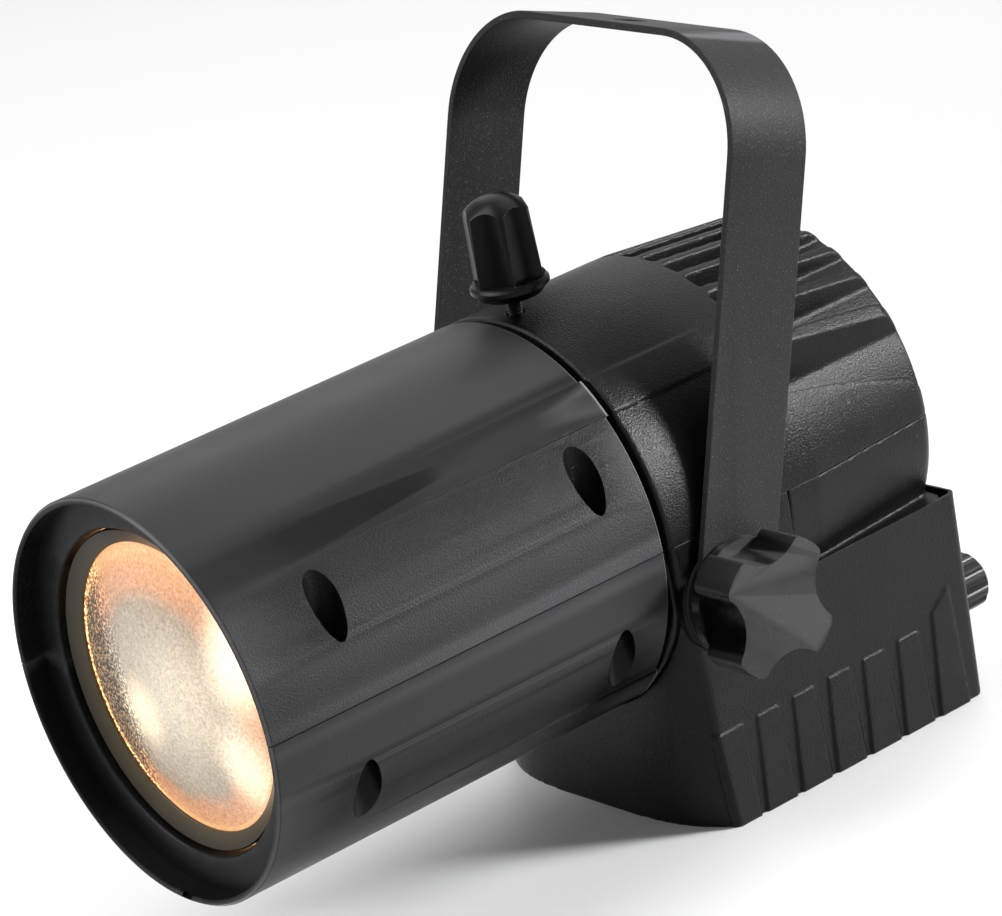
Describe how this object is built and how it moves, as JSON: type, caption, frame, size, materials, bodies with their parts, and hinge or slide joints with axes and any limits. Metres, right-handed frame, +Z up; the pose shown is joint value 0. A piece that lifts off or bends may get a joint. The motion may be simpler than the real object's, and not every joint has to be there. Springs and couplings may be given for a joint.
{
  "type": "follow spot",
  "caption": "Compact LED follow spot: split sliding barrel with convex lens, finned housing on a driver base, flat-bar yoke with clamping knobs.",
  "frame": {"origin": "on the base's underside, straight below the yoke's tilt axis and on the mid-plane", "axes": "+Z up out of the base, -Y the way the light leaves, +Y to the rear, +X along the tilt axis"},
  "size_m": [0.1478, 0.2429, 0.2029],
  "materials": {
    "barrel_shell": "fine spark-eroded moulded texture",
    "housing_shell": "fine spark-eroded moulded texture",
    "yoke_paint": "rough black powder coat",
    "knob_plastic": "semi-gloss moulded",
    "black_plastic": "satin moulded",
    "white_plastic": "satin moulded",
    "lens_ring": "semi-gloss moulded",
    "lens_glass": "clear with a pebbled face",
    "fuse_glass": "clear",
    "gasket": "matte",
    "fibre": "matte pressed fibre",
    "aluminium": "plain",
    "reflector": "polished",
    "emitter": "phosphor-filled silicone",
    "zinc_steel": "zinc plated",
    "black_screw": "black oxide",
    "brass": "turned",
    "board": "solder mask",
    "transformer": "taped",
    "capacitor": "sleeved",
    "terminal": "moulded",
    "red_wire": "insulated",
    "blue_wire": "insulated"
  },
  "bodies": {
    "housing": {"housing_upper_shell": "housing_shell", "housing_lower_shell": "housing_shell", "housing_screws": "black_screw", "heat_sink": "aluminium", "heat_sink_screws": "black_screw", "led_board": "aluminium", "led_emitter": "emitter", "led_holder": "white_plastic", "led_holder_screws": "zinc_steel", "reflector": "reflector", "led_leads": "red_wire", "base_tray": "housing_shell", "base_screws": "black_screw", "driver_board": "board", "driver_transformer": "transformer", "driver_capacitors": "capacitor", "terminal_block": "terminal", "mains_leads": "blue_wire", "power_inlet": "black_plastic", "inlet_pins": "brass", "fuse_holder": "black_plastic", "fuse_nut": "zinc_steel", "fuse": "fuse_glass", "pivot_insert_left": "brass", "pivot_insert_right": "brass", "friction_washer_left": "fibre", "friction_washer_right": "fibre", "focus_insert": "brass"},
    "barrel": {"barrel_upper_shell": "barrel_shell", "barrel_lower_shell": "barrel_shell", "barrel_screws": "black_screw", "barrel_nuts": "zinc_steel", "lens": "lens_glass", "lens_ring": "lens_ring", "lens_gasket": "gasket", "focus_sleeve": "aluminium"},
    "yoke": {"yoke": "yoke_paint"},
    "left_clamp": {"tilt_knob_left": "knob_plastic", "tilt_stud_left": "zinc_steel", "clamp_washer_left": "zinc_steel"},
    "right_clamp": {"tilt_knob_right": "knob_plastic", "tilt_stud_right": "zinc_steel", "clamp_washer_right": "zinc_steel"},
    "focus_clamp": {"focus_knob": "knob_plastic", "focus_stud": "black_screw", "focus_pad": "white_plastic"},
    "fuse_cap": {"fuse_cap": "knob_plastic"}
  },
  "joints": [
    {"name": "focus_slide", "type": "slide", "parent": "housing", "child": "barrel", "axis": [0, -1, 0], "range_m": [0, 0.02]},
    {"name": "yoke_tilt", "type": "hinge", "parent": "housing", "child": "yoke", "pos_m": [0, 0, 0.0655], "axis": [1, 0, 0], "range_deg": [-230, 70]},
    {"name": "left_clamp_turn", "type": "hinge", "parent": "housing", "child": "left_clamp", "pos_m": [-0.055, 0, 0.0655], "axis": [-1, 0, 0], "range_deg": [0, 360]},
    {"name": "right_clamp_turn", "type": "hinge", "parent": "housing", "child": "right_clamp", "pos_m": [0.055, 0, 0.0655], "axis": [1, 0, 0], "range_deg": [0, 360]},
    {"name": "focus_clamp_turn", "type": "hinge", "parent": "housing", "child": "focus_clamp", "pos_m": [0, -0.0085, 0.14], "axis": [0, 0, 1], "range_deg": [0, 360]},
    {"name": "fuse_cap_turn", "type": "hinge", "parent": "housing", "child": "fuse_cap", "pos_m": [0.033, 0.09, 0.0258], "axis": [0, 1, 0], "range_deg": [0, 90]}
  ]
}
